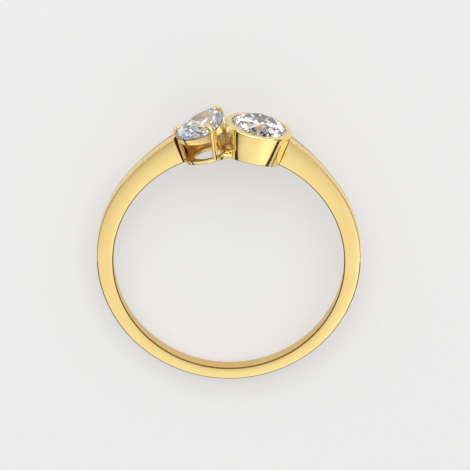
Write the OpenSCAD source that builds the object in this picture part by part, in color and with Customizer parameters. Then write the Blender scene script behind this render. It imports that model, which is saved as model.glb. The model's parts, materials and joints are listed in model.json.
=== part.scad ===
// Toi et moi ring: a pear stone in claws and a round stone in a bezel, side by side on a gold band.
// Millimetres. The ring lies on its side, as a loose ring does, with the face that the
// picture shows turned up: +Z is up, +Y points from the finger hole to the stones, +X to the
// round stone. The origin is on the surface it lies on, under the middle of its box.

/* [Finger hole] */
// Inner diameter of the ring
finger_d = 17.2; // [15:0.1:21]

/* [Band] */
// Width of the band along the finger
band_w = 1.24; // [1:0.02:2]
// Depth of the metal at the base of the band
base_t = 0.9; // [0.7:0.05:1.2]
// Depth of the metal at the sides of the band
side_t = 1.23; // [1.1:0.01:1.5]
// Radius of the long curve of each shoulder
shoulder_r = 16.5; // [14:0.5:20]
// Angle from the top where the left shoulder leaves the round of the band
left_takeoff = 52; // [48:1:56]
// Angle from the top where the right shoulder leaves the round of the band
right_takeoff = 58; // [54:1:60]

/* [Round stone] */
// Diameter of the round stone
round_d = 4.3; // [3.8:0.1:4.6]
// Height of its crown above the girdle
round_crown_h = 0.6; // [0.5:0.05:0.75]
// Depth of its pavilion below the girdle
round_pavilion_h = 1.8; // [1.6:0.05:1.9]

/* [Pear stone] */
// Width of the pear stone across its round end
pear_w = 3.08; // [2.9:0.02:3.2]
// Length of the pear stone from round end to point
pear_l = 4.75; // [4.5:0.05:5]
// Height of its crown above the girdle
pear_crown_h = 0.48; // [0.4:0.02:0.6]
// Depth of its pavilion below the girdle
pear_pavilion_h = 1.25; // [1:0.05:1.4]

/* [Both stones] */
// Thickness of the girdle
girdle_t = 0.1; // [0.06:0.01:0.16]
// Gap between a stone and its seat
seat_gap = 0.03; // [0.02:0.01:0.06]

/* [Bezel] */
// Sideways distance of the bezel's middle from the middle of the ring
bezel_x = 2.24; // [2.1:0.02:2.6]
// Height of the bezel's rim above the finger hole
bezel_h = 2.3; // [2.2:0.05:2.6]
// Thickness of the bezel's wall at the rim
bezel_wall = 0.32; // [0.25:0.01:0.45]
// How much narrower the bezel is at its foot, in radius
bezel_taper = 0.38; // [0:0.02:0.5]
// Radius of the open back under the round stone
bezel_hole_r = 1.5; // [1.2:0.05:1.6]
// How far the rim laps over the edge of the round stone
rim_lap = 0.1; // [0.05:0.01:0.2]
// How far the rim stands above the girdle of the round stone
rim_rise = 0.16; // [0.12:0.01:0.25]

/* [Pear basket] */
// Sideways distance of the basket's axis from the middle of the ring
basket_x = 2.63; // [2.5:0.02:2.9]
// Height of the pear stone's girdle above the finger hole
basket_h = 2.25; // [2.1:0.05:2.5]
// Turn of the pear stone away from the line of the finger, point to the right
pear_turn = 31; // [27:1:35]
// Lean of the pear stone, with its round end down towards the near side
pear_lean = 2.5; // [0:0.5:5]
// Place of the stone's round end across the basket's axis
pear_across = 0.28; // [0.16:0.02:0.34]
// Place of the stone's round end along the finger, towards the far side
pear_along = -0.58; // [-0.7:0.02:-0.4]
// Outer radius of the base ring
foot_r = 1.68; // [1.5:0.02:1.8]
// Radius of the open back through the base ring
foot_hole_r = 1.12; // [0.9:0.02:1.16]
// Height of the base ring
foot_h = 0.38; // [0.3:0.02:0.6]
// Height of the upper rail, in the middle of the basket
rail_h = 0.6; // [0.45:0.02:0.7]
// Slope of the rail's lower edge, which runs down to the right
rail_slope = 5.5; // [0:0.5:8]
// How far the upper rail stands out past the stone
rail_out = 0.06; // [0.02:0.01:0.12]
// Width of the upper rail, from outside to inside
rail_w = 0.42; // [0.3:0.02:0.6]
// Width of the left and front prongs
prong_w = 0.56; // [0.44:0.02:0.64]
// Width of the broad prong at the stone's point
point_prong_w = 0.94; // [0.7:0.02:1.1]
// Thickness of the left and front prongs
prong_t = 0.36; // [0.3:0.02:0.42]
// Thickness of the broad prong
point_prong_t = 0.38; // [0.32:0.02:0.46]
// Angle of the side prongs, measured round the stone from its point
claw_angle = 104; // [98:1:110]
// How far a claw reaches in over the stone
claw_reach = 0.5; // [0.35:0.05:0.6]

/* [Web] */
// Height of the web that joins the feet of the two heads
web_h = 0.57; // [0.4:0.01:0.8]
// How far the web reaches towards the front
web_front = 1.5; // [1.1:0.05:1.6]
// How far the web reaches towards the back
web_back = 1; // [0.7:0.05:1.2]

/* [Hidden] */
gold = [0.93, 0.76, 0.38];
diamond = [0.88, 0.92, 0.96, 0.6];
// Facets of round metal surfaces in the preview
round_fn = 144;
// How far a cut runs past the metal it cuts
past = 1;
finger_r = finger_d / 2;

// Band. Its outside is a circle whose centre lies above the finger's, so that it thickens upwards.
outer_rise = side_t - base_t;
outer_r = finger_r + base_t + outer_rise;
// How deep a shoulder's curve dips under the round of the band where it starts
shoulder_dip = 0.02;

// A point at an angle from the top, at a distance from the finger's axis
function polar(a, r) = [r * sin(a), r * cos(a)];

// Heads. Each stands on the finger hole and leans out along its own radius.
bezel_lean = asin(bezel_x / (finger_r + bezel_h));
basket_lean = -asin(basket_x / (finger_r + basket_h));
round_r = round_d / 2;
bezel_rim_r = round_r + bezel_wall + seat_gap;
bezel_foot_r = bezel_rim_r - bezel_taper;
round_girdle_z = bezel_h - rim_rise;
// A head's foot runs this far into the finger hole before the hole is cut
foot_past = 0.6;

// A point in a head's own frame (x across, y towards the far side, z out) in the ring's frame
function from_head(lean, p) = [
    p.x * cos(lean) + (finger_r + p.z) * sin(lean),
    -p.x * sin(lean) + (finger_r + p.z) * cos(lean),
    -p.y
];
module at_head(lean) {
    rotate([0, 0, -lean]) translate([0, finger_r, 0]) rotate([-90, 0, 0]) children();
}

// Pear outline. The origin is the middle of the round end and +Y runs to the point.
pear_r = pear_w / 2;
pear_reach = pear_l - pear_r;
side_r = (pow(pear_r, 2) + pow(pear_reach, 2)) / pear_w;
side_x = side_r - pear_r;
// The point's distance from the middle of the round end, on an outline moved out by grow
function point_y(grow) = sqrt(pow(side_r + grow, 2) - pow(side_x, 2));
// A point of the outline: turn 0 is the point, 4 the right side, 8 the round end, 12 the left side
function pear_at(turn, grow) =
    let (mirrored = turn > 8 ? 16 - turn : turn)
    let (side_a = (4 - mirrored) / 4 * asin(point_y(grow) / (side_r + grow)))
    let (end_a = (mirrored - 4) * 22.5)
    let (p = mirrored < 4
        ? [-side_x + (side_r + grow) * cos(side_a), (side_r + grow) * sin(side_a)]
        : [(pear_r + grow) * cos(end_a), -(pear_r + grow) * sin(end_a)])
    turn > 8 ? [-p.x, p.y] : p;
function pear_outline(grow, step) = [for (turn = [0 : step : 16 - step]) pear_at(turn, grow)];
// A point in the stone's frame in the basket's frame
function from_pear(p) =
    let (x = p.x * cos(pear_turn) + p.y * sin(pear_turn))
    let (y = p.y * cos(pear_turn) - p.x * sin(pear_turn))
    [
        pear_across + x,
        pear_along + y * cos(pear_lean) - p.z * sin(pear_lean),
        basket_h + y * sin(pear_lean) + p.z * cos(pear_lean)
    ];
module at_pear() {
    translate([pear_across, pear_along, basket_h]) rotate([pear_lean, 0, -pear_turn]) children();
}

// Stones. A cut stone is the hull of its facets' corners.
module cut_stone(corners) {
    hull() polyhedron(corners, [[for (i = [0 : len(corners) - 1]) i]]);
}
table_share = 0.58;
star_share = 0.77;
low_half_share = 0.24;
// A corner of the round stone: half steps of 22.5 degrees, share of its radius, height
function round_corner(step, share, z) =
    [round_r * share * cos(step * 22.5), round_r * share * sin(step * 22.5), z];
// Height of a corner between two mains, on the planes of both
function crown_share(share) = (1 - share * cos(22.5)) / (1 - table_share);
round_corners = concat(
    [for (i = [0 : 2 : 14]) round_corner(i, table_share, girdle_t / 2 + round_crown_h)],
    [for (i = [1 : 2 : 15])
        round_corner(i, star_share, girdle_t / 2 + round_crown_h * crown_share(star_share))],
    [for (i = [0 : 0.5 : 15.5], side = [-1, 1]) round_corner(i, 1, side * girdle_t / 2)],
    [for (i = [1 : 2 : 15])
        round_corner(i, low_half_share,
            -girdle_t / 2 - round_pavilion_h * (1 - low_half_share * cos(22.5)))],
    [[0, 0, -girdle_t / 2 - round_pavilion_h]]
);

// The pear stone's table and star corners lie on outlines moved in by these shares of its width
pear_table_in = 0.21;
pear_star_in = 0.115;
// Place of its culet, as a share of its length from the middle of the round end
culet_share = 0.08;
culet = [0, culet_share * pear_l];
function pear_corner(turn, grow, z) = concat(pear_at(turn, grow), [z]);
function pear_low(turn, share, z) =
    concat(culet + share * (pear_at(turn, 0) - culet), [z]);
// The corners of the pear stone, grown on every side for the clearance in its seat
function pear_corners(grow) = concat(
    [for (i = [0 : 2 : 14])
        pear_corner(i, grow - pear_table_in * pear_w, girdle_t / 2 + pear_crown_h + grow)],
    [for (i = [1 : 2 : 15])
        pear_corner(i, grow - pear_star_in * pear_w,
            girdle_t / 2 + grow + pear_crown_h * crown_share(star_share))],
    [for (i = [0 : 0.5 : 15.5], side = [-1, 1])
        pear_corner(i, grow, side * (girdle_t / 2 + grow))],
    [for (i = [1 : 2 : 15])
        pear_low(i, low_half_share,
            -girdle_t / 2 - grow - pear_pavilion_h * (1 - low_half_share * cos(22.5)))],
    [concat(culet, [-girdle_t / 2 - grow - pear_pavilion_h])]
);

module round_stone() {
    color(diamond) at_head(bezel_lean) translate([0, 0, round_girdle_z]) cut_stone(round_corners);
}

module pear_stone() {
    color(diamond) at_head(basket_lean) at_pear() cut_stone(pear_corners(0));
}

// Bezel collet: outer wall, rounded rim and the lap over the stone, in radius and height
rim_round = 0.08;
rim_lip_r = round_r - rim_lap;
seat_drop = (round_r - bezel_hole_r) * round_pavilion_h / round_r;
rim_base = bezel_h - 2 * rim_round;
// Outer radius of the collet at a height above the finger hole
function collet_r(z) = bezel_foot_r + bezel_taper * z / rim_base;
collet_profile = [
    [0, -foot_past],
    [collet_r(-foot_past), -foot_past],
    [bezel_rim_r, rim_base],
    [bezel_rim_r - 0.3 * rim_round, bezel_h - 0.7 * rim_round],
    [bezel_rim_r - rim_round, bezel_h],
    [0, bezel_h]
];
// The space inside: lip, pocket for the girdle, seat for the pavilion and the open back
collet_space = [
    [0, -foot_past - past],
    [bezel_hole_r + seat_gap, -foot_past - past],
    [bezel_hole_r + seat_gap, round_girdle_z - girdle_t / 2 - seat_drop - seat_gap],
    [round_r + seat_gap, round_girdle_z - girdle_t / 2 - seat_gap],
    [round_r + seat_gap, round_girdle_z + girdle_t / 2 + seat_gap / 2],
    [rim_lip_r, round_girdle_z + girdle_t / 2 + seat_gap + rim_lap * round_crown_h / round_r * 3],
    [rim_lip_r + 0.3 * rim_lap, bezel_h],
    [rim_lip_r + 0.3 * rim_lap, bezel_h + past],
    [0, bezel_h + past]
];
module collet() {
    at_head(bezel_lean) rotate_extrude($fn = round_fn) polygon(collet_profile);
}
module collet_void() {
    at_head(bezel_lean) rotate_extrude($fn = round_fn) polygon(collet_space);
}

// Band: the round of the band and a shoulder on each side
module shoulder(side, takeoff, lean) {
    intersection() {
        translate([0, outer_rise] + (outer_r - shoulder_dip - shoulder_r) * polar(side * takeoff, 1))
            circle(shoulder_r, $fn = round_fn);
        polygon([[0, 0], polar(side * takeoff, 2 * finger_r), polar(lean, 2 * finger_r)]);
    }
}
module band() {
    linear_extrude(band_w, center = true) {
        translate([0, outer_rise]) circle(outer_r, $fn = round_fn);
        shoulder(-1, left_takeoff, basket_lean);
        shoulder(1, right_takeoff, bezel_lean);
    }
}
// What the heads leave no room for: the band ends inside the wall of each head
band_end_in = 0.06;
module band_cut() {
    at_head(bezel_lean) rotate_extrude($fn = round_fn) polygon([
        [0, -foot_past],
        [collet_r(-foot_past) - band_end_in, -foot_past],
        [collet_r(rim_base) - band_end_in, rim_base],
        [bezel_rim_r + past, rim_base],
        [bezel_rim_r + past, 2 * bezel_h],
        [0, 2 * bezel_h]
    ]);
    at_head(basket_lean) hull() {
        translate([foot_x, foot_y, -foot_past])
            cylinder(h = foot_past, r = foot_r - band_end_in, $fn = 32);
        at_pear() linear_extrude(basket_h) polygon(pear_outline(-band_end_in, 1));
    }
    // The gap between the heads
    linear_extrude(band_w + past, center = true) polygon([[0, 0],
        polar(basket_lean, 2 * finger_r), polar(bezel_lean, 2 * finger_r)]);
}

// Base ring of the basket, set a little off the middle of the stone's round end
foot_x = pear_across + 0.18;
foot_y = pear_along + 0.15;
foot_hole_x = 0.28;
foot_hole_y = -0.3;
module foot() {
    at_head(basket_lean) translate([foot_x, foot_y, -foot_past])
        cylinder(h = foot_h + foot_past, r = foot_r, $fn = round_fn);
}
module foot_void() {
    at_head(basket_lean) translate([foot_x + foot_hole_x, foot_y + foot_hole_y, -foot_past - past])
        cylinder(h = foot_h + foot_past + 2 * past, r = foot_hole_r, $fn = round_fn);
}

// Upper rail: a pear-shaped band right under the girdle, cut off by a sloping plane below
rail_drop = 0.04;
rail_top = -girdle_t / 2 - rail_drop;
rail_low = rail_top - rail_h - pear_l * tan(rail_slope);
module rail() {
    at_head(basket_lean) difference() {
        at_pear() translate([0, 0, rail_low]) linear_extrude(rail_top - rail_low) difference() {
            polygon(pear_outline(rail_out, 0.5));
            polygon(pear_outline(rail_out - rail_w, 0.5));
        }
        translate([pear_across, pear_along, basket_h + rail_top - rail_h]) rotate([0, rail_slope, 0])
            translate([-pear_l, -pear_l, -pear_l]) cube([2 * pear_l, 2 * pear_l, pear_l]);
    }
}

// Prongs. Each is swept through stations of [middle, width, thickness, slope of its face].
bar_sides = 10;
function unit(v) = v / norm(v);
function bar_ring(station, out, along) = [
    for (i = [0 : bar_sides - 1])
        let (a = 360 * i / bar_sides)
        let (face = cos(station[3]) * out + sin(station[3]) * [0, 0, 1])
        station[0] + station[1] / 2 * cos(a) * along + station[2] / 2 * sin(a) * face
];
function bar_points(stations, out) =
    [for (station = stations) each bar_ring(station, out, [out.y, -out.x, 0])];
module bar(stations, out) {
    last = len(stations) - 1;
    n = bar_sides;
    walls = [for (k = [0 : last - 1], i = [0 : n - 1]) let (j = (i + 1) % n)
        each [[(k + 1) * n + j, k * n + j, k * n + i], [(k + 1) * n + i, (k + 1) * n + j, k * n + i]]];
    caps = [[for (i = [0 : n - 1]) i], [for (i = [n - 1 : -1 : 0]) last * n + i]];
    polyhedron(bar_points(stations, out), concat(walls, caps), convexity = 4);
}

// A claw's stations above the girdle: way in as a share of its reach, height as a share of the
// crown's, then width and thickness as shares of the prong's, and slope
claw_shape = [
    [-0.36, 0.2, 1, 1.06, 12],
    [-0.2, 0.54, 0.98, 1.25, 38],
    [0.12, 0.72, 0.92, 1.25, 58],
    [0.52, 0.83, 0.8, 0.94, 66],
    [0.84, 0.93, 0.62, 0.6, 68],
    [1, 0.98, 0.3, 0.25, 68]
];
// dir is the claw's direction from the middle of the round end, reach the stone's edge there and
// rise how far the claw stands up as a share of the shape's own height
function claw(dir, reach, w, t, rise) = [
    [from_pear((reach + t / 2 + seat_gap) * dir - [0, 0, girdle_t]), w, t, 0],
    for (row = claw_shape) [
        from_pear((reach - row[0] * claw_reach) * dir + [0, 0, row[1] * rise * pear_crown_h]),
        row[2] * w, row[3] * t, row[4]
    ]
];

// A side prong: from the base ring, up past the girdle and over the crown. It stands on the
// base ring at an angle from straight back.
left_foot_angle = 96;
front_foot_angle = 152;
left_rise = 1;
front_rise = 1.25;
point_rise = 0.8;
function side_dir(side) = [side * sin(claw_angle), cos(claw_angle), 0];
function side_stations(side, foot_angle, rise) = concat(
    [
        [[foot_x, foot_y, 0] + (foot_r - prong_t / 2) * [side * sin(foot_angle), cos(foot_angle), 0],
            prong_w, prong_t, 0]
    ],
    claw(side_dir(side), pear_r, prong_w, prong_t, rise)
);
module side_prong(side, foot_angle, rise) {
    at_head(basket_lean)
        bar(side_stations(side, foot_angle, rise), from_pear(side_dir(side)) - from_pear([0, 0, 0]));
}

// The broad prong at the stone's point, which leans in to the base ring
point_dir = [sin(pear_turn), cos(pear_turn), 0];
point_foot = [1.36, 0.9];
point_knee = [1.38, 1.5];
point_knee_h = 0.9;
point_top_w = 0.8 * point_prong_w;
// How far the stone's point sinks into the broad prong
point_in = 0.2;
point_stations = concat(
    [
        [[foot_x + point_foot.x, foot_y + point_foot.y, foot_h / 2], point_prong_w, point_prong_t, 20],
        [[foot_x + point_knee.x, foot_y + point_knee.y, point_knee_h], point_prong_w, point_prong_t, 20],
        [from_pear([0, pear_reach - 0.2, -rail_h - girdle_t]), point_prong_w, point_prong_t, 12]
    ],
    claw([0, 1, 0], pear_reach - point_in, point_top_w, point_prong_t, point_rise)
);
module point_prong() {
    at_head(basket_lean) bar(point_stations, point_dir);
}

// Web between the feet of the two heads
web_half = 6;
module web() {
    translate([0, 0, -web_back]) linear_extrude(web_front + web_back) intersection() {
        circle(finger_r + web_h, $fn = round_fn);
        polygon([[0, 0], polar(-web_half, 2 * finger_r), polar(web_half, 2 * finger_r)]);
    }
}

module finger_hole() {
    cylinder(h = 2 * finger_r, r = finger_r, center = true, $fn = round_fn);
}

// The whole mount is one soldered solid
module mount_metal() {
    color(gold) difference() {
        union() {
            difference() {
                band();
                band_cut();
            }
            collet();
            foot();
            rail();
            side_prong(-1, left_foot_angle, left_rise);
            side_prong(1, front_foot_angle, front_rise);
            point_prong();
            web();
        }
        finger_hole();
        collet_void();
        foot_void();
        at_head(basket_lean) at_pear() cut_stone(pear_corners(seat_gap));
    }
}

// Rest. The ring lies on the far edge of the band, the bezel's wall and the point's claw. Each
// function gives how far one of them reaches out in a direction of the ring's frame.
claw_points = [for (p = bar_points(point_stations, point_dir)) from_head(basket_lean, p)];
bezel_axis = polar(bezel_lean, 1);
function claw_out(dir) = max([for (p = claw_points) dir * p]);
function disc_out(dir, middle, axis, r) = dir * middle + r * norm(cross(dir, axis));
function bezel_out(dir) = disc_out(dir, from_head(bezel_lean, [0, 0, rim_base]),
    [bezel_axis.x, bezel_axis.y, 0], bezel_rim_r);
function band_out(dir) =
    disc_out(dir, [0, outer_rise, 0], [0, 0, 1], outer_r) + band_w / 2 * abs(dir.z);
// Each pass turns the floor until the claw and the bezel, then the bezel and the band, touch together
function settle(tilt, passes) =
    let (down = -unit([tilt.x, tilt.y, 1]))
    let (roll = (claw_out(down) - bezel_out(down)) / -bezel_spread)
    let (pitch = (bezel_out(down) - band_out(down)) / (2 * outer_r))
    passes == 0 ? -down : settle([tilt.x + roll, tilt.y + pitch], passes - 1);
// How far apart the claw and the bezel touch the floor
bezel_spread = bezel_x + foot_r;
up = settle([0, 0.1], 40);
// Sideways and lengthways directions of the floor, in the ring's frame
floor_x = [1, 0, 0] - up.x / (1 + up.z) * (up + [0, 0, 1]);
floor_y = [0, 1, 0] - up.y / (1 + up.z) * (up + [0, 0, 1]);
table_out = disc_out(floor_y, from_head(bezel_lean, [0, 0, round_girdle_z + girdle_t / 2 + round_crown_h]),
    [bezel_axis.x, bezel_axis.y, 0], table_share * round_r);
shift = [
    (band_out(-floor_x) - band_out(floor_x)) / 2,
    (band_out(-floor_y) - max(bezel_out(floor_y), claw_out(floor_y), table_out)) / 2,
    band_out(-up)
];
echo(up = up, shift = shift, claw = claw_out(-up), bezel = bezel_out(-up), band = band_out(-up));
module lying() {
    translate(shift) rotate(a = acos(up.z), v = [up.y, -up.x, 0]) children();
}

lying() mount_metal();  // ring_mount
lying() round_stone();
lying() pear_stone();
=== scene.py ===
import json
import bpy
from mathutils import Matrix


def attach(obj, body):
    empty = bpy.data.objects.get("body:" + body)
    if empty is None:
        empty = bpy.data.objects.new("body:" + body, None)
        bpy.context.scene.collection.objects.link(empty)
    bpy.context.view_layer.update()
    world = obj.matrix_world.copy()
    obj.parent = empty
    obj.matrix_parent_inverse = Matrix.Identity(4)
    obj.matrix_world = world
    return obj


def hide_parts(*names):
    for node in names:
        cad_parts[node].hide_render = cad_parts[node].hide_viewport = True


bl_info = {
    "name": "Toi et moi ring",
    "version": (1, 0, 0),
    "blender": (4, 5, 0),
    "location": "3D View > Sidebar > Ring",
    "description": "A gold ring with a pear stone in claws beside a round stone in a bezel",
    "category": "Add Mesh",
}

from math import asin, atan2, cos, pi, radians, sin, sqrt, tan
from types import SimpleNamespace

import bmesh
import bpy
from mathutils import Matrix, Vector

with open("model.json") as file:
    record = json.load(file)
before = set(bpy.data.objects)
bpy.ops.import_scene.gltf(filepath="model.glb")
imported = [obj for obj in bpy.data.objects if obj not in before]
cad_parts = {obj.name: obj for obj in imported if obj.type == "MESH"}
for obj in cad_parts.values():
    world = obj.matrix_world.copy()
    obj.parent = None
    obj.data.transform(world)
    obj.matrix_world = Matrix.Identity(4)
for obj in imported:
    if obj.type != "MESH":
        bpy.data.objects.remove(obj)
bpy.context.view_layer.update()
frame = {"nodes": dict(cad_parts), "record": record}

# Units and places
# Pieces are worked in millimetres in the ring's own frame: the finger's axis is Z, the stones are
# towards +Y and the front is +Z. LYING puts them on the floor in metres, as the solids lie.
MM = 0.001
FINGER = frame["record"]["mounts"][0]
FINGER_AXIS = Vector(FINGER["axis"]).normalized()
LYING = (
    Matrix.Translation(FINGER["pos_m"])
    @ Vector((0, 0, 1)).rotation_difference(FINGER_AXIS).to_matrix().to_4x4()
    @ Matrix.Scale(MM, 4)
)
FINGER_R = FINGER["dims"]["r_mm"]
TOP = Vector((0, 1, 0))


def length(name, description, millimetres):
    """A size of the panel, in Blender's own unit of length."""
    return bpy.props.FloatProperty(
        name=name, description=description, default=millimetres * MM, min=0, precision=5, unit="LENGTH"
    )


def angle(name, description, degrees):
    """An angle of the panel."""
    return bpy.props.FloatProperty(
        name=name, description=description, default=radians(degrees), subtype="ANGLE"
    )


def share(name, description, default):
    """A plain number from 0 to 1 of the panel."""
    return bpy.props.FloatProperty(
        name=name, description=description, default=default, min=0, max=1, subtype="FACTOR"
    )


def tint(name, description, default):
    """A colour of the panel."""
    return bpy.props.FloatVectorProperty(
        name=name, description=description, default=default, size=3, min=0, max=1, subtype="COLOR"
    )


# Sizes and colours
class BandSizes(bpy.types.PropertyGroup):
    width: length("Width", "Width of the band along the finger", 1.24)
    base: length("Base depth", "Depth of the metal at the base of the band", 0.9)
    side: length("Side depth", "Depth of the metal at the sides of the band", 1.23)
    shoulder: length("Shoulder radius", "Radius of the long curve of each shoulder", 16.5)
    left_takeoff: angle("Left takeoff", "Angle from the top where the left shoulder starts", 52)
    right_takeoff: angle("Right takeoff", "Angle from the top where the right shoulder starts", 58)
    edge: length("Edge", "Radius of the polished edges", 0.08)
    crown: length("Crown", "How far the faces fall away towards the outer edge", 0.06)
    # Painted shadow: the width of a dark strip along the outer wall's edge that lies on the floor.
    floor_shadow_line: length("Lower line", "Width of the deep line along the outer edge that lies on the floor", 0.17)


class BezelSizes(bpy.types.PropertyGroup):
    aside: length("Aside", "Sideways distance of the bezel from the middle of the ring", 2.24)
    height: length("Height", "Height of the rim above the finger hole", 2.3)
    stone: length("Stone", "Diameter of the round stone", 4.3)
    wall: length("Wall", "Thickness of the wall at the rim", 0.32)
    taper: length("Taper", "How much narrower the bezel is at its foot, in radius", 0.38)
    back: length("Open back", "Radius of the open back under the stone", 1.5)
    lap: length("Lap", "How far the rim laps over the edge of the stone", 0.1)
    rim_round: length("Rim round", "Radius of the rim's rounding", 0.08)


class BasketSizes(bpy.types.PropertyGroup):
    aside: length("Aside", "Sideways distance of the basket from the middle of the ring", 2.63)
    height: length("Height", "Height of the pear stone's girdle above the finger hole", 2.25)
    stone_width: length("Stone width", "Width of the pear stone across its round end", 3.08)
    stone_length: length("Stone length", "Length of the pear stone", 4.75)
    turn: angle("Turn", "Turn of the stone away from the line of the finger", 31)
    lean: angle("Lean", "Lean of the stone towards the near side", 2.5)
    foot: length("Base ring", "Outer radius of the base ring", 1.68)
    foot_hole: length("Base hole", "Radius of the open back through the base ring", 1.17)
    foot_height: length("Base height", "Height of the base ring", 0.31)
    rail: length("Rail height", "Height of the upper rail in the middle of the basket", 0.6)
    rail_width: length("Rail width", "Width of the rail from outside to inside", 0.42)
    rail_slope: angle("Rail slope", "Slope of the rail's lower edge", 5.5)
    prong: length("Prong width", "Width of the left and front prongs", 0.44)
    prong_depth: length("Prong depth", "Thickness of the left and front prongs", 0.25)
    point_prong: length("Point prong width", "Width of the prong at the stone's point", 0.94)
    reach: length("Claw reach", "How far a claw reaches in over the stone", 0.5)


class Finish(bpy.types.PropertyGroup):
    gold: tint("Gold", "Colour of the polished gold", (1.0, 0.765, 0.33))
    gold_deep: tint("Deep gold", "Colour of the gold where it is a little worn", (0.96, 0.69, 0.25))
    # Painted shade and reflection: the dark tone of the eased edges, the seams and the band's strip along the
    # floor.
    edge: tint("Edges", "Deep tone that the eased edges take from the dark around them", (0.15, 0.08, 0.02))
    # Painted shade: the darker, more orange tone inside the settings and the band.
    inner: tint("Inside", "Tone of the gold inside the settings", (0.82, 0.56, 0.2))
    # Painted light: a pale blue-white for the seats under the stones in place of gold.
    seat: tint("Seats", "Tone of the bright-cut seats under the stones", (0.8, 0.88, 1.0))
    # Painted light: a paler gold between the heads.
    pale: tint("Between the heads", "Tone of the gold between the heads", (0.95, 0.86, 0.66))
    gloss: share("Roughness", "Roughness of the polished gold", 0.1)
    diamond: tint("Diamond", "Colour of the stones", (0.975, 0.985, 1.0))
    floor: tint("Floor", "Colour of the floor", (0.36, 0.36, 0.36))


def in_mm(group):
    """A size group with its lengths in millimetres and its angles as they are."""
    values = {}
    for key, prop in group.bl_rna.properties.items():
        if prop.type == "FLOAT":
            values[key] = getattr(group, key) / (1 if prop.unit == "ROTATION" else MM)
    return SimpleNamespace(**values)


# Frames of the heads
def head_frame(aside, height):
    """A head's frame on the ring, x across, y to the far side and z out, and its lean."""
    lean = asin(aside / (FINGER_R + height))
    place = Matrix.Rotation(-lean, 4, "Z") @ Matrix.Translation(TOP * FINGER_R)
    return place @ Matrix.Rotation(radians(-90), 4, "X"), lean


def bezel_frame():
    b = in_mm(bpy.context.scene.ring_bezel)
    return head_frame(b.aside, b.height)


def basket_frame():
    b = in_mm(bpy.context.scene.ring_basket)
    return head_frame(-b.aside, b.height)


PEAR_ACROSS, PEAR_ALONG = 0.28, -0.58
FOOT_X, FOOT_Y = PEAR_ACROSS + 0.18, PEAR_ALONG + 0.15
HOLE_X, HOLE_Y = 0.28, -0.3


def pear_frame():
    """The pear stone's frame in the basket's: +Y runs to its point, z=0 is its girdle."""
    b = in_mm(bpy.context.scene.ring_basket)
    place = Matrix.Translation((PEAR_ACROSS, PEAR_ALONG, b.height))
    return place @ Matrix.Rotation(-b.turn, 4, "Z") @ Matrix.Rotation(b.lean, 4, "X")


# Finishes
def nodes_of(material):
    """The material's node tree and its shader."""
    material.use_nodes = True
    tree = material.node_tree
    return tree, tree.nodes["Principled BSDF"]


def add_node(tree, kind, inputs=None, **settings):
    """A node with its settings and input values."""
    node = tree.nodes.new(kind)
    for key, value in settings.items():
        setattr(node, key, value)
    for key, value in (inputs or {}).items():
        node.inputs[key].default_value = value
    return node


def gold_finish(name, colour, deep, gloss):
    """Polished yellow gold: faint waves left by the buff, hairlines and a slightly uneven tone."""
    found = bpy.data.materials.get(name)
    if found:
        return found
    material = bpy.data.materials.new(name)
    tree, shader = nodes_of(material)
    link = tree.links.new
    place = add_node(tree, "ShaderNodeTexCoord").outputs["Object"]
    tone = add_node(tree, "ShaderNodeTexNoise", {"Scale": 420, "Detail": 3})
    hair = add_node(tree, "ShaderNodeTexNoise", {"Scale": 5200, "Detail": 4, "Roughness": 0.65})
    waves = add_node(tree, "ShaderNodeTexNoise", {"Scale": 900, "Detail": 1})
    for texture in (tone, hair, waves):
        link(place, texture.inputs["Vector"])
    mix = add_node(tree, "ShaderNodeMix", data_type="RGBA")
    mix.inputs[6].default_value = (*colour, 1)
    mix.inputs[7].default_value = (*deep, 1)
    weight = add_node(tree, "ShaderNodeMapRange", {1: 0.35, 2: 0.8, 3: 0.0, 4: 0.6})
    link(tone.outputs["Fac"], weight.inputs["Value"])
    link(weight.outputs["Result"], mix.inputs["Factor"])
    link(mix.outputs[2], shader.inputs["Base Color"])
    rough = add_node(tree, "ShaderNodeMapRange", {1: 0.3, 2: 0.8, 3: gloss * 0.6, 4: gloss * 1.6})
    link(hair.outputs["Fac"], rough.inputs["Value"])
    link(rough.outputs["Result"], shader.inputs["Roughness"])
    fine = add_node(tree, "ShaderNodeBump", {"Strength": 0.02, "Distance": 0.00002})
    broad = add_node(tree, "ShaderNodeBump", {"Strength": 0.06, "Distance": 0.00004})
    link(hair.outputs["Fac"], fine.inputs["Height"])
    link(waves.outputs["Fac"], broad.inputs["Height"])
    link(fine.outputs["Normal"], broad.inputs["Normal"])
    link(broad.outputs["Normal"], shader.inputs["Normal"])
    shader.inputs["Metallic"].default_value = 1
    return material


def polished_gold():
    f = bpy.context.scene.ring_finish
    return gold_finish("polished_gold", f.gold, f.gold_deep, f.gloss)


def edge_shade_gold():
    """The gold of the eased edges, the joints and the band's strip along the floor, painted a deep tone: painted
    reflection of the dark around them and painted shadow in the joints and on the floor.
    """
    f = bpy.context.scene.ring_finish
    return gold_finish("edge_shade_gold", f.edge, [c * 0.6 for c in f.edge], 0.3)


def inner_shade_gold():
    """The gold inside the settings and the band: rougher, out of the polishing brush's reach, and painted darker
    and more orange as shade.
    """
    f = bpy.context.scene.ring_finish
    return gold_finish("inner_shade_gold", f.inner, [c * 0.8 for c in f.inner], 0.35)


def painted_light_seat():
    """The seats under the stones, painted light: a pale blue-white mirror in place of gold, so that the stones stay
    clear and white.
    """
    f = bpy.context.scene.ring_finish
    return gold_finish("painted_light_seat", f.seat, [c * 0.9 for c in f.seat], 0.2)


def pale_gold():
    """The gold between the heads, which is a little paler where the stones throw their light on it."""
    f = bpy.context.scene.ring_finish
    return gold_finish("pale_gold", f.pale, [c * 0.9 for c in f.pale], 0.16)


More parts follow.
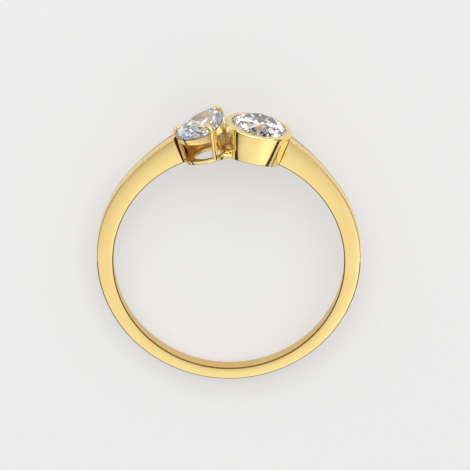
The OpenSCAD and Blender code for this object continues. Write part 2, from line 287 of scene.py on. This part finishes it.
def cut_diamond():
    """Clear diamond: a high index, clean facets and a breath of blue and violet."""
    found = bpy.data.materials.get("cut_diamond")
    if found:
        return found
    f = bpy.context.scene.ring_finish
    material = bpy.data.materials.new("cut_diamond")
    tree, shader = nodes_of(material)
    link = tree.links.new
    place = add_node(tree, "ShaderNodeTexCoord").outputs["Object"]
    drift = add_node(tree, "ShaderNodeTexNoise", {"Scale": 1500, "Detail": 1})
    link(place, drift.inputs["Vector"])
    mix = add_node(tree, "ShaderNodeMix", data_type="RGBA")
    mix.inputs[6].default_value = (*f.diamond, 1)
    mix.inputs[7].default_value = (0.93, 0.94, 1.0, 1)
    link(drift.outputs["Fac"], mix.inputs["Factor"])
    link(mix.outputs[2], shader.inputs["Base Color"])
    shader.inputs["Transmission Weight"].default_value = 1
    shader.inputs["IOR"].default_value = 2.417
    shader.inputs["Roughness"].default_value = 0.0
    return material


# Making pieces
# A piece's finishes in order: the polish; its edges, with painted shade and reflection; inside the
# settings, with painted shade; under the stones, painted light; and between the heads, painted light
POLISH, EDGE, INNER, SEAT, PALE = range(5)


def put_in_place(mesh, name, place, sharp=40):
    """Turns a worked mesh into a gold piece on the ring, its place in its mesh."""
    bmesh.ops.remove_doubles(mesh, verts=mesh.verts, dist=1e-4)
    bmesh.ops.recalc_face_normals(mesh, faces=mesh.faces)
    for face in mesh.faces:
        face.smooth = True
    for edge in mesh.edges:
        edge.smooth = edge.calc_face_angle(0) < radians(sharp)
    mesh.transform(LYING @ place)
    data = bpy.data.meshes.new(name)
    mesh.to_mesh(data)
    mesh.free()
    piece = bpy.data.objects.new(name, data)
    bpy.context.scene.collection.objects.link(piece)
    for finish in (polished_gold, edge_shade_gold, inner_shade_gold, painted_light_seat, pale_gold):
        data.materials.append(finish())
    even = piece.modifiers.new("even_normals", "WEIGHTED_NORMAL")
    even.keep_sharp = True
    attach(piece, "root")
    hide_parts("ring_mount")
    return piece


def ease(mesh, radius, keep=None, segments=3):
    """Rounds the hard edges and gives them the dark edge tone, a painted reflection of the dark around them; keep
    says which of them are done.
    """
    bmesh.ops.recalc_face_normals(mesh, faces=mesh.faces)
    hard = [
        e for e in mesh.edges
        if len(e.link_faces) == 2 and e.calc_face_angle() > radians(40) and (keep is None or keep(e))
    ]
    made = bmesh.ops.bevel(
        mesh, geom=hard, offset=radius, offset_type="OFFSET", affect="EDGES",
        segments=segments, profile=0.5, material=-1, clamp_overlap=False,
    )
    for face in made["faces"]:
        face.material_index = EDGE


def finish_faces(mesh, finish, test):
    """Gives one of a piece's finishes to the faces whose middle and normal pass a test."""
    bmesh.ops.recalc_face_normals(mesh, faces=mesh.faces)
    for face in mesh.faces:
        if test(face.calc_center_median(), face.normal):
            face.material_index = finish


def wire(mesh, points, closed=False):
    """A line of edges through points; gives its edges."""
    verts = [mesh.verts.new(p) for p in points]
    ends = verts[1:] + (verts[:1] if closed else [])
    return [mesh.edges.new((a, b)) for a, b in zip(verts, ends)]


def turned(mesh, profile, steps):
    """Spins a closed profile of (radius, height) right round the z axis."""
    edges = wire(mesh, [(r, 0, z) for r, z in profile], closed=True)
    verts = list({v for e in edges for v in e.verts})
    bmesh.ops.spin(
        mesh, geom=verts + edges, cent=(0, 0, 0), axis=(0, 0, 1), angle=2 * pi, steps=steps, use_merge=True
    )


def rounded(points, corners, steps=4):
    """A closed profile with some of its corners rounded: corners is {index: radius}."""
    made = []
    for i, here in enumerate(points):
        here = Vector(here)
        if i not in corners:
            made.append(tuple(here))
            continue
        before = (Vector(points[i - 1]) - here).normalized()
        after = (Vector(points[(i + 1) % len(points)]) - here).normalized()
        opening = before.angle(after)
        back = corners[i] / tan(opening / 2)
        middle = here + (before + after).normalized() * corners[i] / sin(opening / 2)
        first, last = here + before * back - middle, here + after * back - middle
        for k in range(steps + 1):
            made.append(tuple(middle + first.slerp(last, k / steps) * corners[i]))
    return made


def onto_finger(mesh, verts):
    """Drops vertices in a head's frame along z onto the finger hole."""
    for v in verts:
        v.co.z = sqrt(FINGER_R**2 - v.co.x**2) - FINGER_R


def swept(mesh, stations, corner):
    """Skins a bar through stations of (middle, along, out, width, thickness), a rounded oblong in section."""
    loops = []
    for middle, along, out, width, thickness in stations:
        w, t = width / 2, thickness / 2
        outline = rounded([(w, t), (-w, t), (-w, -t), (w, -t)], dict.fromkeys(range(4), corner * min(w, t)), 5)
        loops.append(wire(mesh, [middle + along * x + out * y for x, y in outline], closed=True))
    for low, high in zip(loops, loops[1:]):
        bmesh.ops.bridge_loops(mesh, edges=low + high)
    for end in (loops[0], loops[-1]):
        bmesh.ops.edgeloop_fill(mesh, edges=end)


def smooth_path(rows, steps):
    """Rows of equal length as a smooth run through them, with steps rows from each to the next."""
    made = []
    for k in range(len(rows) - 1):
        a, b = rows[max(k - 1, 0)], rows[k]
        c, d = rows[k + 1], rows[min(k + 2, len(rows) - 1)]
        for step in range(steps):
            t = step / steps
            made.append([
                0.5 * (2 * q + t * (r - p) + t * t * (2 * p - 5 * q + 4 * r - s) + t**3 * (3 * q - p - 3 * r + s))
                for p, q, r, s in zip(a, b, c, d)
            ])
    made.append(list(rows[-1]))
    return made


# The band
def band_reach(turn):
    """Distance from the finger's axis to the outside of the band, at an angle from the top."""
    b = in_mm(bpy.context.scene.ring_band)
    rise = b.side - b.base
    outer = FINGER_R + b.base + rise
    plain = rise * cos(turn) + sqrt(outer**2 - (rise * sin(turn)) ** 2)
    takeoff = b.left_takeoff if turn < 0 else b.right_takeoff
    if abs(turn) > takeoff:
        return plain
    side = -1 if turn < 0 else 1
    back = outer - 0.02 - b.shoulder
    middle = Vector((back * sin(side * takeoff), rise + back * cos(takeoff)))
    way = Vector((sin(turn), cos(turn)))
    along = middle.dot(way)
    arc = along + sqrt(b.shoulder**2 - middle.length_squared + along**2)
    return (plain + arc + sqrt((plain - arc) ** 2 + 0.0001)) / 2


class OBJECT_OT_ring_band(bpy.types.Operator):
    """Makes the band, a hoop that rises into a shoulder on each side"""

    bl_idname = "object.ring_band"
    bl_label = "Band"

    def execute(self, context):
        b = in_mm(context.scene.ring_band)
        half = b.width / 2
        start, steps = radians(6), 240
        # Share of the depth, and how far the face has fallen away there, as a share of the crown
        face = [
            (0, 0), (0.4, 0), (0.5, 0.015), (0.6, 0.07), (0.7, 0.18), (0.8, 0.36), (0.9, 0.62), (1, 1)
        ]
        front = [(share, half - fall * b.crown) for share, fall in face]
        # The outer wall gets an extra edge for the painted shadow strip along the floor.
        section = front + [(1, b.crown + b.floor_shadow_line - half)] + [(share, -z) for share, z in reversed(front)]
        mesh = bmesh.new()
        edges = wire(mesh, [
            ((FINGER_R + s * b.base) * sin(start), (FINGER_R + s * b.base) * cos(start), z) for s, z in section
        ], closed=True)
        verts = list({v for e in edges for v in e.verts})
        bmesh.ops.spin(
            mesh, geom=verts + edges, cent=(0, 0, 0), axis=(0, 0, -1), angle=2 * (pi - start), steps=steps
        )
        for v in mesh.verts:
            r = v.co.xy.length
            reach = FINGER_R + (r - FINGER_R) / b.base * (band_reach(TOP.xy.angle_signed(v.co.xy)) - FINGER_R)
            v.co.xy = v.co.xy * reach / r
            fall = (half - abs(v.co.z)) * (reach - FINGER_R) / (r - FINGER_R + 1e-9) * b.base / b.side
            v.co.z = (half - fall) * (1 if v.co.z > 0 else -1)
        # Painted shade: the band's inner wall takes the darker inside tone.
        finish_faces(mesh, INNER, lambda c, n: c.xy.length < FINGER_R + 0.001)
        # Painted shadow: the outer wall's strip along the edge that lies on the floor takes the dark edge tone.
        finish_faces(mesh, EDGE, lambda c, n: n.xy.dot(c.xy) > 0.9 * c.xy.length and c.z < -0.3)
        ease(mesh, b.edge)
        # Painted shade: on the upper half, the faces that fall away to the outer edge take the darker, rougher
        # inside tone, an orange line in place of a glint.
        finish_faces(mesh, INNER, lambda c, n: c.y > 0 and c.xy.length > FINGER_R + 0.5 and 0.1 < n.z < 0.96)
        self.cut_ends(mesh)
        put_in_place(mesh, "band", Matrix.Identity(4))
        return {"FINISHED"}

    def cut_ends(self, mesh):
        """Ends the band just inside the wall of each head."""
        z = in_mm(bpy.context.scene.ring_bezel)
        bezel, _ = bezel_frame()
        basket, _ = basket_frame()
        foot_r = z.stone / 2 + z.wall + 0.03 - z.taper
        tilt = z.taper / (z.height - 2 * z.rim_round)
        self.cut(mesh, 1, bezel, Vector((foot_r - 0.1, 0, 0)), Vector((1, 0, -tilt)), 0.07)
        self.cut(mesh, -1, basket, Vector((-1.28, -0.62, 0)), Vector((-1, 0.28, -0.135)), 0.07)
        rims = [e for e in mesh.edges if len(e.link_faces) == 1]
        bmesh.ops.holes_fill(mesh, edges=rims, sides=0)

    def cut(self, mesh, side, place, point, way, chamfer):
        """Clears what lies past a plane of one head's frame and chamfers the faces' edges there."""
        point, way = place @ point, (place.to_3x3() @ way).normalized()

        def near(p):
            return -0.01 < side * TOP.xy.angle_signed(p.xy) < radians(50)

        for off, clear in ((0, True), (chamfer, False)):
            faces = [f for f in mesh.faces if all(near(v.co) for v in f.verts)]
            parts = set(faces)
            for f in faces:
                parts.update(f.edges)
                parts.update(f.verts)
            bmesh.ops.bisect_plane(
                mesh, geom=list(parts), dist=1e-5, plane_co=point + way * off, plane_no=way, clear_inner=clear
            )
        for v in mesh.verts:
            if near(v.co) and abs((v.co - point).dot(way)) < 1e-4 and abs(v.co.z) > 0.4:
                v.co.z -= chamfer * (1 if v.co.z > 0 else -1)
        # Painted shade: the chamfer in the groove where the band meets the head takes the dark edge tone.
        finish_faces(
            mesh, EDGE,
            lambda c, n: near(c) and 0 < (c - point).dot(way) < chamfer and abs(n.z) > 0.2 and abs(c.z) > 0.3,
        )


# The bezel
class OBJECT_OT_ring_bezel(bpy.types.Operator):
    """Makes the bezel, a collet with a rounded rim that laps over the round stone"""

    bl_idname = "object.ring_bezel"
    bl_label = "Bezel"

    def execute(self, context):
        b = in_mm(context.scene.ring_bezel)
        gap, girdle, crown, pavilion = 0.03, 0.1, 0.6, 1.8
        stone_r = b.stone / 2
        rim_r = stone_r + b.wall + gap
        foot_r = rim_r - b.taper
        rim_base = b.height - 2 * b.rim_round
        girdle_z = b.height - 0.16
        lip_r = stone_r - b.lap
        seat = (stone_r - b.back) * pavilion / stone_r
        profile = [
            (foot_r, 0),
            (foot_r + b.taper * 0.5, rim_base * 0.5),
            (rim_r, rim_base),
            (rim_r, b.height),
            (lip_r + 0.3 * b.lap, b.height),
            (lip_r, girdle_z + girdle / 2 + gap + b.lap * crown / stone_r * 3),
            (stone_r + gap, girdle_z + girdle / 2 + gap / 2),
            (stone_r + gap, girdle_z - girdle / 2 - gap),
            (b.back + gap, girdle_z - girdle / 2 - seat - gap),
            (b.back + gap, 0),
        ]
        profile = rounded(profile, {3: 0.14, 4: 0.06}, steps=6)
        mesh = bmesh.new()
        turned(mesh, profile, 160)
        onto_finger_share = [v for v in mesh.verts if v.co.z < 0.06]
        for v in onto_finger_share:
            drop = sqrt(FINGER_R**2 - v.co.x**2) - FINGER_R
            v.co.z += drop
        # Painted shade inside the open back, painted light on the seat under the stone and on the wall that faces
        # the pear, and the dark edge tone of painted reflection on the eased edges.
        finish_faces(mesh, INNER, lambda c, n: c.xy.length < b.back + 0.04)
        finish_faces(mesh, SEAT, lambda c, n: b.back + 0.04 < c.xy.length < stone_r + 0.04 and 0.1 < c.z < girdle_z)
        finish_faces(mesh, PALE, lambda c, n: n.x < -0.8 and c.xy.length > foot_r - 0.1)
        ease(mesh, 0.045)
        place, _ = bezel_frame()
        put_in_place(mesh, "bezel", place)
        return {"FINISHED"}


# The pear's outline
def pear_at(turn, grow):
    """A point of the pear's outline moved out by grow: turn 0 is the point, 8 the round end, 16 the point again."""
    b = in_mm(bpy.context.scene.ring_basket)
    end_r = b.stone_width / 2
    reach = b.stone_length - end_r
    side_r = (end_r**2 + reach**2) / b.stone_width
    side_x = side_r - end_r
    mirrored = 16 - turn if turn > 8 else turn
    if mirrored < 4:
        tip = sqrt((side_r + grow) ** 2 - side_x**2)
        a = (4 - mirrored) / 4 * asin(tip / (side_r + grow))
        x, y = -side_x + (side_r + grow) * cos(a), (side_r + grow) * sin(a)
    else:
        a = radians((mirrored - 4) * 22.5)
        x, y = (end_r + grow) * cos(a), -(end_r + grow) * sin(a)
    return Vector((-x if turn > 8 else x, y))


# The basket
class OBJECT_OT_ring_basket(bpy.types.Operator):
    """Makes the pear's base ring and upper rail"""

    bl_idname = "object.ring_basket"
    bl_label = "Basket"

    def execute(self, context):
        self.foot()
        self.rail()
        return {"FINISHED"}

    def foot(self):
        """The base ring, whose hole sits towards the front."""
        b = in_mm(bpy.context.scene.ring_basket)
        profile = [(b.foot, 0), (b.foot, b.foot_height), (b.foot_hole, b.foot_height), (b.foot_hole, 0)]
        mesh = bmesh.new()
        turned(mesh, profile, 120)
        # Painted shade on the top and inside of the base ring; its eased edges take the dark edge tone.
        finish_faces(mesh, INNER, lambda c, n: c.xy.length < b.foot - 0.1 and c.z > 0.05)
        for v in mesh.verts:
            r = sqrt(v.co.x**2 + v.co.y**2)
            inwards = (b.foot - r) / (b.foot - b.foot_hole)
            v.co.x += FOOT_X + HOLE_X * inwards
            v.co.y += FOOT_Y + HOLE_Y * inwards
            v.co.z += (sqrt(FINGER_R**2 - v.co.x**2) - FINGER_R) * (1 - v.co.z / b.foot_height)
        ease(mesh, 0.04)
        put_in_place(mesh, "base_ring", basket_frame()[0])

    def rail(self):
        """The upper rail, a pear-shaped hoop right under the stone's girdle, its lower edge sloping."""
        b = in_mm(bpy.context.scene.ring_basket)
        top = -0.09
        mesh = bmesh.new()
        turns = [k / 8 for k in range(128)]
        pear = pear_frame()
        slope = tan(b.rail_slope)
        loops = []
        for grow, low in ((0.06, False), (0.06, True), (0.06 - b.rail_width, True), (0.06 - b.rail_width, False)):
            ring = []
            for turn in turns:
                p = pear @ pear_at(turn, grow).to_3d().xyz
                if low and 11.6 < turn < 15.9:
                    foot = Vector((FOOT_X, FOOT_Y))
                    p.xy = foot + (p.xy - foot).normalized() * min((p.xy - foot).length, b.foot - 0.16 + grow)
                    p.z = sqrt(FINGER_R**2 - p.x**2) - FINGER_R + 0.1
                elif low:
                    p.z = b.height + top - b.rail - slope * (p.x - PEAR_ACROSS)
                else:
                    p.z += top
                ring.append(p)
            loops.append(wire(mesh, ring, closed=True))
        for one, other in zip(loops, loops[1:] + loops[:1]):
            bmesh.ops.bridge_loops(mesh, edges=one + other)
        middle = pear @ Vector((0, 0.5, 0))
        low = b.height + top - b.rail
        bmesh.ops.bisect_plane(mesh, geom=[*mesh.verts, *mesh.edges, *mesh.faces], plane_co=(0, 0, low), plane_no=(0, 0, 1))
        within = lambda c, n: n.xy.dot((c - middle).xy.normalized()) < -0.3
        # Painted shade inside the rail below the seat, painted light on the seat and the tops and on the outer side
        # that faces the bezel; the eased edges take the dark edge tone.
        finish_faces(mesh, INNER, lambda c, n: within(c, n) and c.z < low)
        finish_faces(mesh, SEAT, lambda c, n: within(c, n) and c.z > low or n.z > 0.7)
        finish_faces(mesh, PALE, lambda c, n: not within(c, n) and n.x > 0.75)
        ease(mesh, 0.04)
        put_in_place(mesh, "upper_rail", basket_frame()[0])


# The prongs
# A claw's stations above the girdle: way in as a share of its reach, height as a share of the
# crown's, then width and thickness as shares of the prong's, and the slope of its face
CLAW = (
    (-0.34, 0.1, 0.95, 0.95, 14),
    (-0.2, 0.4, 0.88, 0.9, 38),
    (0.08, 0.6, 0.8, 0.85, 60),
    (0.45, 0.72, 0.7, 0.72, 68),
    (0.8, 0.8, 0.5, 0.5, 74),
    (1, 0.8, 0.24, 0.28, 80),
)
PEAR_CROWN = 0.48


def claw_rows(way, edge, width, thickness, rise):
    """Rows of (x, y, z, width, thickness, slope) from the girdle to the tip of a claw."""
    b = in_mm(bpy.context.scene.ring_basket)
    pear = pear_frame()
    foot = pear @ (way * (edge + thickness / 2 + 0.03) - Vector((0, 0, 0.1)))
    rows = [[*foot, width, thickness, 0]]
    for inwards, height, wide, thick, slope in CLAW:
        p = pear @ (way * (edge - inwards * b.reach) + Vector((0, 0, height * rise * PEAR_CROWN)))
        rows.append([*p, wide * width, thick * thickness, slope])
    return rows


def stand_prong(name, rows, out, corner=0.4, steps=6, polish=0):
    """Sweeps a prong through its rows, its face turned to out."""
    out = out.normalized()
    along = Vector((out.y, -out.x, 0)).normalized()
    stations = []
    for x, y, z, width, thickness, slope in smooth_path(rows, steps):
        a = radians(slope)
        face = cos(a) * out + sin(a) * Vector((0, 0, 1))
        stations.append((Vector((x, y, z)), along, face, width, thickness))
    mesh = bmesh.new()
    swept(mesh, stations, corner)
    # Painted light on the lower part of the point prong; painted shade on the prongs' faces towards the stone.
    finish_faces(mesh, polish, lambda c, n: c.z < rows[-1][2] - 0.9)
    finish_faces(mesh, INNER, lambda c, n: n.dot(out) < -0.4)
    put_in_place(mesh, name, basket_frame()[0], sharp=50)


class OBJECT_OT_ring_prongs(bpy.types.Operator):
    """Makes the pear's left and front prongs and the broad prong at its point"""

    bl_idname = "object.ring_prongs"
    bl_label = "Prongs"

    def execute(self, context):
        b = in_mm(context.scene.ring_basket)
        pear = pear_frame()
        end_r = b.stone_width / 2
        for name, side, foot_angle, rise in (("left_prong", -1, 96, 1.0), ("front_prong", 1, 152, 1.25)):
            way = Vector((side * sin(radians(104)), cos(radians(104)), 0))
            a = radians(foot_angle)
            foot = Vector((FOOT_X, FOOT_Y, 0)) + (b.foot - b.prong_depth / 2) * Vector((side * sin(a), cos(a), 0))
            rows = [[*foot, b.prong, b.prong_depth, 0]]
            rows += claw_rows(way, end_r, b.prong, b.prong_depth, rise)
            stand_prong(name, rows, pear.to_3x3() @ way, corner=0.95)
        depth = 0.38
        rows = [
            [FOOT_X + 1.36, FOOT_Y + 0.9, b.foot_height / 2, b.point_prong, depth, 20],
            [FOOT_X + 1.38, FOOT_Y + 1.5, 0.9, b.point_prong, depth, 20],
            [*(pear @ Vector((0, b.stone_length - end_r - 0.25, -0.7))), b.point_prong, depth, 12],
        ]
        rows += claw_rows(Vector((0, 1, 0)), b.stone_length - end_r - 0.25, 0.66 * b.point_prong, depth, 0.8)
        stand_prong("point_prong", rows, Vector((sin(b.turn), cos(b.turn), 0)), corner=0.9, polish=PALE)
        return {"FINISHED"}


# The web
class OBJECT_OT_ring_web(bpy.types.Operator):
    """Makes the saddle of metal that joins the feet of the two heads"""

    bl_idname = "object.ring_web"
    bl_label = "Web"

    def execute(self, context):
        half, steps = radians(6), 24
        section = rounded(
            [(FINGER_R, 1.5), (FINGER_R + 0.57, 1.5), (FINGER_R + 0.57, -1.0), (FINGER_R, -1.0)],
            {0: 0.06, 1: 0.25, 2: 0.25, 3: 0.06}, steps=6,
        )
        mesh = bmesh.new()
        edges = wire(mesh, [(-r * sin(half), r * cos(half), z) for r, z in section], closed=True)
        verts = list({v for e in edges for v in e.verts})
        bmesh.ops.spin(mesh, geom=verts + edges, cent=(0, 0, 0), axis=(0, 0, -1), angle=2 * half, steps=steps)
        bmesh.ops.holes_fill(mesh, edges=[e for e in mesh.edges if len(e.link_faces) == 1], sides=0)
        for v in mesh.verts:
            left, right = self.ends(v.co.z)
            r = v.co.xy.length
            along = left + (atan2(v.co.x, v.co.y) / half + 1) / 2 * (right - left)
            if r > FINGER_R + 0.1:
                r *= 1 - 0.024 * max(0, 1 - (along / 0.75) ** 2)
            v.co.xy = r * sin(along / FINGER_R), r * cos(along / FINGER_R)
        put_in_place(mesh, "web", Matrix.Identity(4))
        return {"FINISHED"}

    def ends(self, z):
        """Where the web ends in the wall of each head, along the finger hole, at a height of the ring."""
        bezel, basket = (in_mm(getattr(bpy.context.scene, key)) for key in ("ring_bezel", "ring_basket"))
        wall_r = (bezel.stone / 2 + bezel.wall + 0.03 - bezel.taper + bezel.back) / 2
        right = FINGER_R * bezel_frame()[1] - sqrt(max(0, wall_r**2 - z**2))
        hole_x, hole_z = FINGER_R * basket_frame()[1] + FOOT_X + HOLE_X, -FOOT_Y - HOLE_Y
        left = hole_x + sqrt(max(0, (basket.foot_hole + 0.06) ** 2 - (z - hole_z) ** 2))
        return max(left, -0.9), right


# The stones
class OBJECT_OT_ring_stones(bpy.types.Operator):
    """Gives the two cut stones their diamond finish"""

    bl_idname = "object.ring_stones"
    bl_label = "Stones"

    def execute(self, context):
        for name in ("round_stone", "pear_stone"):
            stone = frame["nodes"][name]
            for slot in stone.material_slots:
                slot.material = cut_diamond()
        return {"FINISHED"}


# The stage
class OBJECT_OT_ring_stage(bpy.types.Operator):
    """Makes the floor, the soft light and the camera"""

    bl_idname = "object.ring_stage"
    bl_label = "Stage"

    def execute(self, context):
        self.floor()
        self.light()
        self.camera()
        context.scene.view_settings.view_transform = "Standard"
        # Light goes round in a cut stone many times before it comes out
        context.scene.cycles.max_bounces = 40
        context.scene.cycles.glossy_bounces = 12
        context.scene.cycles.transmission_bounces = 24
        return {"FINISHED"}

    def floor(self):
        """A plain pale floor."""
        mesh = bmesh.new()
        bmesh.ops.create_circle(mesh, cap_ends=True, segments=96, radius=1.2)
        data = bpy.data.meshes.new("floor")
        mesh.to_mesh(data)
        mesh.free()
        floor = bpy.data.objects.new("floor", data)
        bpy.context.scene.collection.objects.link(floor)
        material = bpy.data.materials.new("pale_floor")
        _, shader = nodes_of(material)
        shader.inputs["Base Color"].default_value = (*bpy.context.scene.ring_finish.floor, 1)
        shader.inputs["Roughness"].default_value = 0.9
        shader.inputs["Specular IOR Level"].default_value = 0.1
        shader.inputs["Emission Color"].default_value = (1, 1, 1, 1)
        shader.inputs["Emission Strength"].default_value = 0.43
        data.materials.append(material)

    def light(self):
        """A tent of soft light, dark at the horizon and brightest to the front and above."""
        world = bpy.data.worlds.new("tent")
        world.use_nodes = True
        bpy.context.scene.world = world
        tree = world.node_tree
        link = tree.links.new
        way = add_node(tree, "ShaderNodeTexCoord").outputs["Object"]
        split = add_node(tree, "ShaderNodeSeparateXYZ")
        link(way, split.inputs["Vector"])
        dome = add_node(
            tree, "ShaderNodeMapRange", {1: 0.15, 2: 0.8, 3: 0.02, 4: 0.5}, interpolation_type="SMOOTHSTEP"
        )
        link(split.outputs["Z"], dome.inputs["Value"])
        near = add_node(
            tree, "ShaderNodeMapRange", {1: -0.05, 2: -0.55, 3: 0.0, 4: 0.47}, interpolation_type="SMOOTHSTEP"
        )
        link(split.outputs["Y"], near.inputs["Value"])
        low = add_node(
            tree, "ShaderNodeMapRange", {1: 0.17, 2: 0.21, 3: 0.0, 4: 1.0}, interpolation_type="SMOOTHSTEP"
        )
        link(split.outputs["Z"], low.inputs["Value"])
        fill = add_node(
            tree, "ShaderNodeMapRange", {1: 0.9, 2: 0.3, 3: 0.0, 4: 0.42}, interpolation_type="SMOOTHSTEP"
        )
        link(split.outputs["Z"], fill.inputs["Value"])
        wall = add_node(tree, "ShaderNodeMath", operation="ADD")
        link(near.outputs["Result"], wall.inputs[0])
        share_near = add_node(tree, "ShaderNodeMath", {1: 1 / 0.47}, operation="MULTIPLY")
        link(near.outputs["Result"], share_near.inputs[0])
        filled = add_node(tree, "ShaderNodeMath", operation="MULTIPLY")
        link(fill.outputs["Result"], filled.inputs[0])
        link(share_near.outputs["Value"], filled.inputs[1])
        link(filled.outputs["Value"], wall.inputs[1])
        aside = add_node(
            tree, "ShaderNodeMapRange", {1: -0.6, 2: 0.35, 3: 0.78, 4: 1.1}, interpolation_type="SMOOTHSTEP"
        )
        link(split.outputs["X"], aside.inputs["Value"])
        shaded = add_node(tree, "ShaderNodeMath", operation="MULTIPLY")
        link(wall.outputs["Value"], shaded.inputs[0])
        link(aside.outputs["Result"], shaded.inputs[1])
        lit = add_node(tree, "ShaderNodeMath", operation="MULTIPLY")
        link(shaded.outputs["Value"], lit.inputs[0])
        link(low.outputs["Result"], lit.inputs[1])
        far = add_node(
            tree, "ShaderNodeMapRange", {1: 0.1, 2: 0.5, 3: 0.0, 4: 1.0}, interpolation_type="SMOOTHSTEP"
        )
        link(split.outputs["Y"], far.inputs["Value"])
        right = add_node(
            tree, "ShaderNodeMapRange", {1: 0.02, 2: 0.3, 3: 0.0, 4: 0.13}, interpolation_type="SMOOTHSTEP"
        )
        link(split.outputs["X"], right.inputs["Value"])
        around = add_node(tree, "ShaderNodeMath", operation="ADD")
        link(far.outputs["Result"], around.inputs[0])
        link(right.outputs["Result"], around.inputs[1])
        far_lit = add_node(tree, "ShaderNodeMath", operation="MULTIPLY")
        link(around.outputs["Value"], far_lit.inputs[0])
        link(low.outputs["Result"], far_lit.inputs[1])
        sides = add_node(tree, "ShaderNodeMath", operation="ADD")
        link(far_lit.outputs["Value"], sides.inputs[0])
        link(lit.outputs["Value"], sides.inputs[1])
        total = add_node(tree, "ShaderNodeMath", operation="ADD")
        link(dome.outputs["Result"], total.inputs[0])
        link(sides.outputs["Value"], total.inputs[1])
        back = tree.nodes["Background"]
        link(total.outputs["Value"], back.inputs["Strength"])
        back.inputs["Color"].default_value = (1, 0.995, 0.985, 1)
        self.softbox("back_light", (0, 0.5, 0.26), 0.5, 0.24, 1.5)
        for k, place in enumerate(((-0.3, 0.4, 0.3), (0.2, 0.5, 0.12), (0.34, 0.3, 0.4), (-0.1, 0.3, 0.5), (-0.5, 0.1, 0.3))):
            self.softbox(f"glint_{k + 1}", place, 0.035, 0.035, 22)
        for k, place in enumerate(((-0.42, 0.42, 0.12), (0.05, 0.55, 0.42), (0.42, 0.4, 0.2), (-0.2, 0.45, 0.55))):
            self.softbox(f"pane_{k + 1}", place, 0.12, 0.12, 5)

    def softbox(self, name, place, width, height, brightness):
        """A soft rectangular light that faces the ring."""
        data = bpy.data.lights.new(name, "AREA")
        data.shape = "RECTANGLE"
        data.size = width
        data.size_y = height
        data.energy = brightness * pi * width * height
        light = bpy.data.objects.new(name, data)
        light.location = place
        light.rotation_euler = Vector(place).to_track_quat("Z", "Y").to_euler()
        bpy.context.scene.collection.objects.link(light)

    def camera(self):
        """The camera, at the picture's angle to the ring: a little to the stones' side of straight above."""
        data = bpy.data.cameras.new("camera")
        camera = bpy.data.objects.new("camera", data)
        bpy.context.scene.collection.objects.link(camera)
        aside, above = radians(0.7), radians(22.4)
        back = Vector((sin(aside) * cos(above), sin(above), cos(aside) * cos(above)))
        right = TOP.cross(back).normalized()
        axes = Matrix((right, back.cross(right), back)).transposed().to_4x4()
        turned_to = LYING.to_3x3().normalized().to_4x4() @ axes
        camera.matrix_world = Matrix.Translation(LYING @ (back * 400)) @ turned_to
        data.sensor_width = 36
        data.lens = 410.9
        data.shift_x = 0.0132
        data.shift_y = 0.0512
        bpy.context.scene.camera = camera


class VIEW3D_PT_ring(bpy.types.Panel):
    """The ring's pieces, sizes and finishes"""

    bl_label = "Toi et moi ring"
    bl_idname = "VIEW3D_PT_ring"
    bl_space_type = "VIEW_3D"
    bl_region_type = "UI"
    bl_category = "Ring"

    def draw(self, context):
        for title, group in GROUPS:
            box = self.layout.box()
            box.label(text=title)
            for key in getattr(context.scene, group).__class__.__annotations__:
                box.prop(getattr(context.scene, group), key)
        for maker in MAKERS:
            self.layout.operator(maker.bl_idname)


GROUPS = (("Band", "ring_band"), ("Bezel", "ring_bezel"), ("Basket", "ring_basket"), ("Finish", "ring_finish"))
SIZES = (BandSizes, BezelSizes, BasketSizes, Finish)
MAKERS = (
    OBJECT_OT_ring_stage,
    OBJECT_OT_ring_band,
    OBJECT_OT_ring_bezel,
    OBJECT_OT_ring_basket,
    OBJECT_OT_ring_prongs,
    OBJECT_OT_ring_web,
    OBJECT_OT_ring_stones,
)


def register():
    for cls in (*SIZES, *MAKERS, VIEW3D_PT_ring):
        bpy.utils.register_class(cls)
    for (_, group), sizes in zip(GROUPS, SIZES):
        setattr(bpy.types.Scene, group, bpy.props.PointerProperty(type=sizes))


def unregister():
    for _, group in GROUPS:
        delattr(bpy.types.Scene, group)
    for cls in (VIEW3D_PT_ring, *reversed(MAKERS), *reversed(SIZES)):
        bpy.utils.unregister_class(cls)


def main():
    register()
    bpy.ops.object.ring_stage()
    bpy.ops.object.ring_band()
    bpy.ops.object.ring_bezel()
    bpy.ops.object.ring_basket()
    bpy.ops.object.ring_prongs()
    bpy.ops.object.ring_web()
    bpy.ops.object.ring_stones()


if __name__ == "__main__":
    main()
